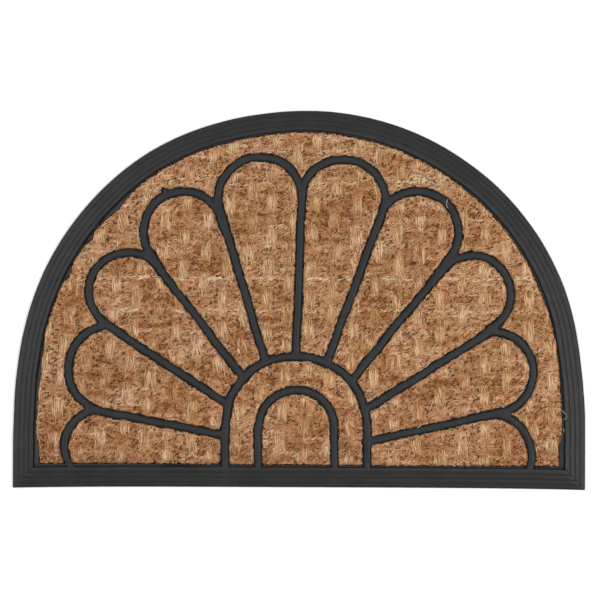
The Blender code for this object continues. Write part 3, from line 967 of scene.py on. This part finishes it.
def fibreMesh(way, radius, tone, hue):
    # way holds each fibre's middle line, as fibre by step by xyz
    count, steps, _ = way.shape
    along = np.gradient(way, axis=1)
    along /= np.linalg.norm(along, axis=2, keepdims=True) + 1e-9
    side = np.stack([-along[..., 1], along[..., 0], np.zeros(along.shape[:2])], axis=2)
    side /= np.linalg.norm(side, axis=2, keepdims=True) + 1e-9
    up = np.cross(along, side)
    inner = steps - 2
    rings = []
    for corner in range(3):
        turn = math.radians(90 + 120 * corner)
        offset = math.cos(turn) * side[:, 1:-1] + math.sin(turn) * up[:, 1:-1]
        rings.append(way[:, 1:-1] + offset * radius[:, None, None])
    rings = np.stack(rings, axis=2).reshape(count, inner * 3, 3)
    points = np.concatenate([way[:, :1], rings, way[:, -1:]], axis=1)
    one = [(0, 1 + (k + 1) % 3, 1 + k) for k in range(3)]
    for ring in range(inner - 1):
        low, high = 1 + 3 * ring, 4 + 3 * ring
        for k in range(3):
            after = (k + 1) % 3
            one.append((low + k, low + after, high + after))
            one.append((low + k, high + after, high + k))
    tip, last = 1 + 3 * inner, 3 * inner - 2
    one += [(tip, last + k, last + (k + 1) % 3) for k in range(3)]
    size = points.shape[1]
    faces = (np.array(one)[None] + size * np.arange(count)[:, None, None]).reshape(-1, 3)
    stepShare = np.concatenate([[0], np.repeat(np.arange(1, steps - 1), 3), [steps - 1]]) / (steps - 1)
    body = 1 - (2 * stepShare - 1) ** 2
    # painted shade: a fibre grows darker down in a gap and towards its ends, where it dives in
    deep = 1 - softStep(*fibres["deepHeights"], points[..., 2])
    toneAt = tone[:, None] + fibres["tipTone"] + fibres["bodyTone"] * body[None] - fibres["deepShade"] * deep
    toneAt = np.clip(toneAt, 0.01, 0.99)
    hueAt = np.repeat(np.clip(hue, 0.01, 0.99)[:, None], size, axis=1)
    return points.reshape(-1, 3), faces, np.stack([toneAt.ravel(), hueAt.ravel()], axis=1)


def fibreWay(fibre, share):
    # places along each fibre, by shares from -0.5 to 0.5 of its length
    x, y, length, heading, bend = (fibre[key][:, None] for key in ("x", "y", "length", "heading", "bend"))
    ahead, aside = share * length, bend * (1 - (2 * share) ** 2) * length
    across, up = np.cos(heading), np.sin(heading)
    return x + ahead * across - aside * up, y + ahead * up + aside * across


def chosen(fibre, use):
    return {key: value[use] for key, value in fibre.items()}


def clearShares(fibre):
    # how much of each fibre, behind and ahead of its middle, runs clear of the rubber
    middle = fibres["marks"] // 2
    x, y = fibreWay(fibre, np.linspace(-0.5, 0.5, fibres["marks"])[None])
    gap = fibre["gap"][:, None]
    clear = (skirtGrid.read(x, y) > gap) & (clothInset(x, y) > gap - fibres["overhang"])
    halves = clear[:, middle::-1], clear[:, middle:]
    return [(np.cumprod(half, axis=1).sum(axis=1) - 1) / (fibres["marks"] - 1) for half in halves]


def layFibres(fibre, steps=4, overRubber=False):
    # fibres follow the cloth, rise in the middle, sink in at the ends and stop at the rubber
    if overRubber:
        before = after = np.full(len(fibre["x"]), 0.5)
    else:
        before, after = clearShares(fibre)
    use = (before + after) * fibre["length"] > fibres["shortest"]
    fibre = chosen(fibre, use)
    before, after = before[use][:, None], after[use][:, None]
    run = np.linspace(0, 1, steps)[None]
    x, y = fibreWay(fibre, run * (before + after) - before)
    height = clothHeight(x, y)
    if overRubber:
        onRubber = (skirtGrid.read(x, y) < 0) | (clothInset(x, y) < 0)
        height = np.maximum(height, np.where(onRubber, fan["top"], 0))
    height = height + fibre["radius"][:, None] + fibre["lift"][:, None]
    z = height - fibre["sink"][:, None] * np.abs(2 * run - 1) ** 3
    return np.stack([x, y, z], axis=2), fibre["radius"], fibre["tone"], fibre["hue"]


def makeFibres(name, parts, material):
    # parts are lists of (way, radius, tone, hue), all joined in one piece
    points, faces, chart = zip(*(fibreMesh(*part) for part in parts))
    starts = np.cumsum([0] + [len(group) for group in points])
    faces = np.concatenate([group + start for group, start in zip(faces, starts)])
    piece = makePiece(name, np.concatenate(points), [faces], material, "coir_cloth")
    layer = piece.data.uv_layers.new(name="OFBake")
    layer.data.foreach_set("uv", np.concatenate(chart)[faces.ravel()].astype(np.float32).ravel())
    print(name + ":", sum(len(part[1]) for part in parts), "fibres,", len(faces), "faces")
    return piece


def drawn(chance, shape, reaches):
    # random values by name: even between two bounds, or scattered round 0 by a single number
    values = {}
    for name, reach in reaches.items():
        if isinstance(reach, tuple):
            values[name] = chance.uniform(*reach, shape)
        else:
            values[name] = chance.normal(0, reach, shape)
    return values


# How tone and hue, both from 0 to 1, change over the mat
shades = {
    "toRight": 0.033,
    # paler towards the rounded border: how much, how far in, and between which rises it comes in
    "crown": (0.13, 26.0, 50.0, 300.0),
    # a darker strip along the straight edge: how much, its rise, and half its width
    "strip": (0.14, 30.3, 2.3),
    # darker at the right end's border: how much, how far in, and where it comes in, right of the middle
    "rightEnd": (0.09, 2.5, 190.0, 240.0),
    # unevenness: how much, and its shortest and longest wave
    "clouds": (0.056, 30.0, 130.0),
    "spots": (0.066, 5.5, 18.0),
    "streaks": (0.05, 6.0, 16.0),
    "streakSquash": 0.1,  # streaks are this much narrower than long, and run along the yarns
    # painted highlight, paler close beside a line or the border: how much, how far, and between which rises
    # it comes in
    "beside": (0.05, 3.5, 24.0, 38.0),
    "besideOff": 12.0,    # but not along the border's right end
    "hue": 0.47,          # between orange at 0 and ashen at 1
    "hueToRight": 0.07,   # greyer to the left
    # greyer along the straight edge: how much, how far up, and how much less at the right
    "lowHue": (0.2, 25.0, 0.6),
    "hueSpots": (0.085, 5.0, 17.0),
    "hueClouds": (0.063, 40.0, 180.0),
}


def uneven(kind, x, y, seed, waves=24):
    much, shortest, longest = shades[kind]
    return much * ripple(x, y, seed, shortest, longest, waves)


def patchTone(x, y):
    rise, inner = y - straightY, np.maximum(clothInset(x, y), 0)
    much, reach, start, end = shades["crown"]
    trend = shades["toRight"] * x / halfWidth + much * np.exp(-inner / reach) * softStep(start, end, rise)
    much, middle, half = shades["strip"]
    trend -= much * np.exp(-((rise - middle) / half) ** 2)
    much, reach, start, end = shades["rightEnd"]
    trend -= much * np.exp(-inner / reach) * softStep(start, end, x)
    patches = uneven("clouds", x, y, 41) + uneven("spots", x, y, 42)
    return trend + patches + uneven("streaks", shades["streakSquash"] * x, y, 45, 40)


def lineHighlightTone(x, y):
    # painted highlight: the cloth is paler close beside a line or the border
    much, reach, low, high = shades["beside"]
    start, end = shades["rightEnd"][2:]
    near = np.minimum(skirtGrid.read(x, y), clothInset(x, y) + shades["besideOff"] * softStep(start, end, x))
    return much * np.exp(-np.maximum(near, 0) / reach) * softStep(low, high, y - straightY)


def patchHue(x, y):
    share, rise = x / halfWidth, y - straightY
    much, reach, less = shades["lowHue"]
    trend = much * np.exp((reach - rise) / reach) * (1 - less * share) - shades["hueToRight"] * share
    return shades["hue"] + trend + uneven("hueSpots", x, y, 43, 40) + uneven("hueClouds", x, y, 44)


# Warp floats: each is a bunch of strands that stray together
warp = {
    "fibres": 51,         # in one float
    "overEdge": 8.0,      # how far outside the cut edge a float's middle may lie
    "heading": 94.5,
    "tone": 0.57,
    "hueSpread": 0.03,
    # how far each float, each strand in it and each fibre stray
    "acrossStray": (0.8, 0.45),
    "alongStray": (0.8, 1.3),
    "turnStray": (2.5, 4.0, 5.0),
    "toneStray": (0.042, 0.05, 0.058),
    "strandWidth": (0.78, 1.17),  # times its even share of a float
    "alongSpread": 4.8,
    "alongReach": 9.5,
    "floatLength": (0.82, 1.18),  # times the length of a fibre
    "length": (10.0, 20.0),
    "patchShare": 0.7,    # how far it takes part in the mat's patches
    # how far it takes part in the painted highlight beside the rubber
    "besideShare": 0.6,
    "fibre": {
        "radius": (0.28, 0.52), "bend": 0.025, "lift": (-0.1, 0.4), "sink": (0.4, 1.4), "gap": (-0.1, 0.5),
    },
}


def floatPlaces():
    columns = math.ceil(halfWidth / weave["columnPitch"])
    rows = math.ceil(matDepth / 2 / weave["rowPitch"])
    places = []
    for column in range(-columns, columns + 1):
        for row in range(-rows, rows + 1):
            x, y = weavePoint(column, row)
            if (column + row) % 2 == 0 and clothInset(x, y) > -warp["overEdge"]:
                places.append((column, x, y))
    return np.array(places)


def warpPart():
    chance = np.random.default_rng(51)
    places = floatPlaces()
    strands = weave["strands"]
    shape = (len(places), strands, warp["fibres"] // strands)
    oneFloat, oneStrand = (len(places), 1, 1), (len(places), strands, 1)
    column, x, y = places.T[..., None, None]
    lean = (weave["columnLean"] + column * weave["columnSpread"]) / weave["rowPitch"]

    def strayed(kind):
        shapes = (oneFloat, oneStrand, shape)
        return sum(chance.normal(0, reach, size) for reach, size in zip(warp[kind], shapes))

    width = weave["floatWidth"] / strands * chance.uniform(*warp["strandWidth"], oneFloat)
    aside = (np.arange(strands) - (strands - 1) / 2)[None, :, None] * width + strayed("acrossStray")
    aside = aside + width * chance.uniform(-0.5, 0.5, shape)
    reach = warp["alongReach"]
    ahead = strayed("alongStray")
    ahead = ahead + np.clip(chance.normal(0, warp["alongSpread"], shape), -reach, reach)
    fibre = {
        "x": x + aside + ahead * lean,
        "y": y + ahead + 0 * aside,
        "heading": np.radians(warp["heading"] + strayed("turnStray")),
        "length": chance.uniform(*warp["floatLength"], oneFloat) * chance.uniform(*warp["length"], shape),
        **drawn(chance, shape, warp["fibre"]),
    }
    here = fibre["x"], fibre["y"]
    tone = warp["tone"] + strayed("toneStray")
    fibre["tone"] = tone + warp["patchShare"] * patchTone(*here) + warp["besideShare"] * lineHighlightTone(*here)
    fibre["hue"] = patchHue(*here) + chance.normal(0, warp["hueSpread"], shape)
    return layFibres({key: value.ravel() for key, value in fibre.items()})


# Weft: fibres of the cross yarns, not where a float lies over them and few in the dark gaps
weft = {
    "fibres": 96000,      # over the mat's whole box; those off the cloth or under a line are left out
    "pieces": 3,
    "tone": 0.478,
    "toneSpread": 0.042,
    "toneDrop": 0.035,    # how much darker the odd ones are
    "yarnTone": 0.035,    # how much the yarns differ
    "acrossSpread": 0.27,  # from the yarn's middle, as a share of its width
    "acrossReach": 0.6,
    # shares of the fibres, their heading and how much it varies: twisted, along, and any way
    "headings": ((0.45, 37.0, 17.0), (0.18, 8.0, 20.0), (0.37, 30.0, 60.0)),
    "speckShare": 0.095,  # short dark bits that paint the shade of small gaps, most of them where the yarns dive between two columns
    "speckOver": 0.6,
    "speckBeside": 0.8,
    "speckRadius": 1.4,   # times that of the others
    "speckLift": 0.25,
    "besideHue": 0.05,    # greyer where the yarns dive
    "bareMiddle": 0.7,    # of a float's half length
    "bareShares": (0.95, 0.5),    # of the fibres there, and under the rest of the float
    "pitFrom": 0.25,
    "pitBare": 0.95,
    "skirtGap": 0.2,
    "edgeGap": 0.1,
    "fibre": {
        "short": (2.6, 6.5), "length": (4.5, 11.0), "radius": (0.28, 0.53), "bend": 0.03,
        "lift": (-0.15, 0.25), "sink": (0.2, 0.8), "gap": (-0.1, 0.6), "tone": (0.0, 0.15), "hue": 0.012,
    },
    # yarns of paler fibre, counted up from the middle row: tone added, and the stretch it runs
    "paleYarns": (
        (5, 0.34, -245.0, 260.0), (4, 0.04, -245.0, 200.0), (-1, 0.18, -200.0, 250.0),
        (24, 0.16, -170.0, 210.0), (23, 0.04, -170.0, 210.0),
    ),
}


def weftPart(seed, count):
    chance = np.random.default_rng(seed)
    rows = math.ceil(matDepth / 2 / weave["rowPitch"]) * weave["yarnsInRow"]
    yarn = chance.integers(-rows, rows + 2, count)
    x = chance.uniform(-halfWidth, halfWidth, count)
    reach = weft["acrossReach"]
    acrossYarn = np.clip(chance.normal(0, weft["acrossSpread"], count), -reach, reach)
    row = (yarn + 0.5 + acrossYarn) / weave["yarnsInRow"] - 0.5
    y = weave["centre"][1] + row * weave["rowPitch"] + x / weave["columnPitch"] * row * weave["rowSpread"]
    y = y - weaveStray(x, y)[1]
    shares, headings, spreads = (np.array(column) for column in zip(*weft["headings"]))
    kind = chance.choice(len(shares), count, p=shares)
    turn = chance.normal(headings[kind], spreads[kind])
    column, rowAt = weavePlace(x, y)
    beside = besideFloat(column)
    odd = chance.normal(0, 1, count)
    tone = weft["tone"] + weft["toneSpread"] * odd - weft["toneDrop"] * odd ** 2
    tone = tone + patchTone(x, y) + lineHighlightTone(x, y)
    yarnTone = np.random.default_rng(61).normal(0, weft["yarnTone"], 4 * rows)
    pale = sum(more * ((yarn == number) & (x > start) & (x < end))
               for number, more, start, end in weft["paleYarns"])
    tone = tone + yarnTone[yarn + 2 * rows] + pale
    # painted shade: specks are dark bits, of the fibre tone from 0 to 0.15, standing for shadowed gaps
    speck = chance.random(count) < weft["speckShare"] * (weft["speckOver"] + weft["speckBeside"] * beside)
    fibre = drawn(chance, count, weft["fibre"])
    fibre.update(x=x, y=y, heading=np.radians(turn * (1 - 2 * pale)))
    fibre["length"] = np.where(speck, fibre.pop("short"), fibre["length"])
    fibre["radius"] *= np.where(speck, weft["speckRadius"], 1.0)
    fibre["lift"] = np.where(speck, weft["speckLift"], fibre["lift"] + pale)
    fibre["tone"] = np.where(speck, fibre["tone"], tone)
    fibre["hue"] = patchHue(x, y) + weft["besideHue"] * (2 * beside - 1) + fibre["hue"]
    isFloat, sideways, lengthways = nearFloat(column, rowAt)
    bareShare = np.where(lengthways < weft["bareMiddle"], *weft["bareShares"])
    bare = isFloat & (sideways < 1.0) & (chance.random(count) < bareShare)
    bare |= (pitShare(x, y, column) > weft["pitFrom"]) & (chance.random(count) < weft["pitBare"])
    use = (skirtGrid.read(x, y) > weft["skirtGap"]) & (clothInset(x, y) > weft["edgeGap"]) & ~bare
    return layFibres(chosen(fibre, use))


# Rim: fibres pressed along the rubber, paler as a painted highlight, loose hairs, and single fibres laid as
# they are seen
rim = {
    "spacing": 1.0,       # one fibre for this much of a line's edge
    "ringSpacing": 1.6,   # and of the border's
    "ringGap": 0.6,
    "leastLoop": 40,      # points; shorter loops get none
    "out": (0.3, 2.2),
    # paler than the weft: painted highlight along the rubber
    "tone": 0.63,
    "rise": 36.0,         # none lower than this
    "share": 0.55,
    "stretch": (0.35, 10.0, 60.0),  # how much the share changes, over these wave lengths
    "fibre": {
        "heading": math.radians(20.0), "length": (3.5, 9.0), "radius": (0.2, 0.4), "bend": 0.05,
        "lift": (-0.1, 0.6), "sink": (0.0, 0.6), "gap": (-0.2, 0.3), "tone": 0.11, "hue": (0.4, 0.85),
    },
    "hairs": 700,
    "hairSkirtGap": 2.0,
    "hairEdgeGap": 3.0,
    "hair": {
        "x": (-halfWidth, halfWidth), "y": (straightY, -straightY), "heading": (-np.pi, np.pi),
        "length": (9.0, 24.0), "radius": (0.13, 0.24), "bend": 0.12, "lift": (0.3, 0.9), "sink": (0.3, 1.0),
        "gap": (-0.1, 0.3), "tone": (0.45, 1.0), "hue": (0.2, 0.8),
    },
    # strays: an end's place right of the middle and its rise, the other end's, radius and bend
    "strays": (
        (155.0, 303.7, 154.5, 293.0, 0.28, -0.17), (-150.6, 87.6, -155.0, 80.6, 0.28, 0.06),
        (272.6, 84.3, 280.3, 76.3, 0.26, 0.02), (280.4, 75.9, 275.8, 71.9, 0.20, 0.05),
        (275.6, 63.9, 277.3, 58.9, 0.24, 0.05), (140.9, 92.8, 135.6, 80.9, 0.55, 0.0),
        (-152.3, 126.0, -151.8, 104.0, 0.42, 0.02), (129.6, 68.0, 122.5, 62.6, 0.38, 0.04),
        (-144.8, 333.0, -144.4, 327.9, 0.35, 0.0),
    ),
    "strayLift": 0.15,
    "straySink": 0.1,
    "stray": {"tone": (0.75, 0.95), "hue": (0.8, 1.0)},
}


def rimPart():
    chance = np.random.default_rng(71)
    rough = [loop for loop in contourLoops(skirtGrid) if len(loop) > rim["leastLoop"]]
    loops = [evenLoop(loop, rim["spacing"]) for loop in rough]
    ring = Ring(rim["ringSpacing"], rim["ringSpacing"])
    loops.append(np.stack(ring.at(ring.cut() + rim["ringGap"]), axis=1))
    edge = np.concatenate(loops)
    ahead = np.concatenate([np.roll(loop, -2, axis=0) - np.roll(loop, 2, axis=0) for loop in loops])
    heading = np.arctan2(ahead[:, 1], ahead[:, 0])
    count = len(edge)
    outwards = fieldSlope(edge)
    outwards[-ring.count:] = np.stack([-np.sin(heading), np.cos(heading)], axis=1)[-ring.count:]
    x, y = (edge + outwards * chance.uniform(*rim["out"], count)[:, None]).T
    fibre = drawn(chance, count, rim["fibre"])
    fibre.update(x=x, y=y, heading=heading + fibre["heading"], tone=rim["tone"] + fibre["tone"])
    much, shortest, longest = rim["stretch"]
    use = chance.random(count) < rim["share"] + much * ripple(x, y, 72, shortest, longest)
    return layFibres(chosen(fibre, use & (y > straightY + rim["rise"])))


def hairPart():
    fibre = drawn(np.random.default_rng(75), rim["hairs"], rim["hair"])
    x, y = fibre["x"], fibre["y"]
    use = (skirtGrid.read(x, y) > rim["hairSkirtGap"]) & (clothInset(x, y) > rim["hairEdgeGap"])
    return layFibres(chosen(fibre, use), steps=7)


def strayPart():
    fromX, fromRise, toX, toRise, radius, bend = np.array(rim["strays"]).T
    run = toX - fromX, toRise - fromRise
    fibre = {
        "x": (fromX + toX) / 2,
        "y": straightY + (fromRise + toRise) / 2,
        "heading": np.arctan2(run[1], run[0]),
        "length": np.hypot(*run),
        "radius": radius,
        "bend": bend,
        "lift": np.full(len(radius), rim["strayLift"]),
        "sink": np.full(len(radius), rim["straySink"]),
        **drawn(np.random.default_rng(77), len(radius), rim["stray"]),
    }
    return layFibres(fibre, steps=9, overRubber=True)


def makeAllFibres():
    pieces = [makeFibres("warpFibres", [warpPart()], fibreFinish("warpCoir", golden=0.012, tinting=0.7))]
    material = fibreFinish("weftCoir", golden=0.0, tinting=0.95)
    for number in range(weft["pieces"]):
        part = weftPart(80 + number, weft["fibres"] // weft["pieces"])
        pieces.append(makeFibres(f"weftFibres{number + 1}", [part], material))
    pieces.append(makeFibres("rimFibres", [rimPart(), hairPart(), strayPart()], material))
    return pieces


# Studio: a pale floor, a white sky and soft panels; the camera looks straight down as in the photo
studio = {
    "lens": 200.0,
    "sensor": 36.0,
    "viewWidth": 0.62937,
    "aim": (-0.00012, -0.00093, 0.005),
    "turnDeg": 0.25,
    "skyStrength": 0.77,
    "dimSide": (-0.6, -0.05, 0.66),  # the sky is dimmer towards the straight edge: from, to and by what
    "floorSize": 60.0,
    # panels: azimuth it stands at, height above the floor, distance, side, watts
    "panels": (
        (-15.0, 1.5, 1.0, 1.1, 16.0),
        (171.0, 1.5, 1.0, 1.1, 10.0),
    ),
}


def makeStudio():
    scene = bpy.context.scene
    scene.view_settings.view_transform = "Standard"
    sky = Finish("whiteSky", "worlds", "Background", Color=(1, 1, 1, 1))
    towards = sky.add("SeparateXYZ", {"Vector": sky.add("TexCoord").outputs["Generated"]}).outputs["Y"]
    dimFrom, dimTo, dimShare = studio["dimSide"]
    full = studio["skyStrength"]
    sky.use("Strength", sky.mapped(towards, dimFrom, dimTo, dimShare * full, full))
    scene.world = sky.owner

    half = studio["floorSize"] / 2
    mesh = bpy.data.meshes.new("paleFloor")
    corners = [(x * half, y * half, 0) for x, y in ((-1, -1), (1, -1), (1, 1), (-1, 1))]
    mesh.from_pydata(corners, [], [(0, 1, 2, 3)])
    finish = Finish("palePaper", Specular_IOR_Level=0.1, Roughness=0.9)
    patch = finish.noise(finish.add("TexCoord").outputs["Object"], 2.0)
    finish.use("Base Color", finish.ramp(patch, (0.3, (0.93, 0.93, 0.93)), (0.7, (0.95, 0.95, 0.95))))
    mesh.materials.append(finish.owner)
    addObject("paleFloor", mesh)

    aim = Vector(studio["aim"])
    for number, (azimuth, height, distance, side, watts) in enumerate(studio["panels"]):
        data = bpy.data.lights.new(f"softPanel{number + 1}", "AREA")
        data.size = side
        data.energy = watts
        panel = addObject(data.name, data)
        angle = math.radians(azimuth)
        panel.location = (distance * math.cos(angle), distance * math.sin(angle), height)
        panel.rotation_euler = (aim - panel.location).to_track_quat("-Z", "Y").to_euler()

    data = bpy.data.cameras.new("overheadCamera")
    data.lens = studio["lens"]
    data.sensor_width = studio["sensor"]
    data.clip_end = 200.0
    camera = scene.camera = addObject(data.name, data)
    distance = studio["viewWidth"] * studio["lens"] / studio["sensor"]
    camera.location = aim + Vector((0, 0, distance))
    camera.rotation_euler = (0, 0, math.radians(studio["turnDeg"]))
    print("studio: camera", round(distance, 3), "m above the mat")


rubber = [makeBorder(), makeLines()]
cloth, flatSize, flatArea = makeCloth()
fibrePieces = makeAllFibres()
makeStudio()
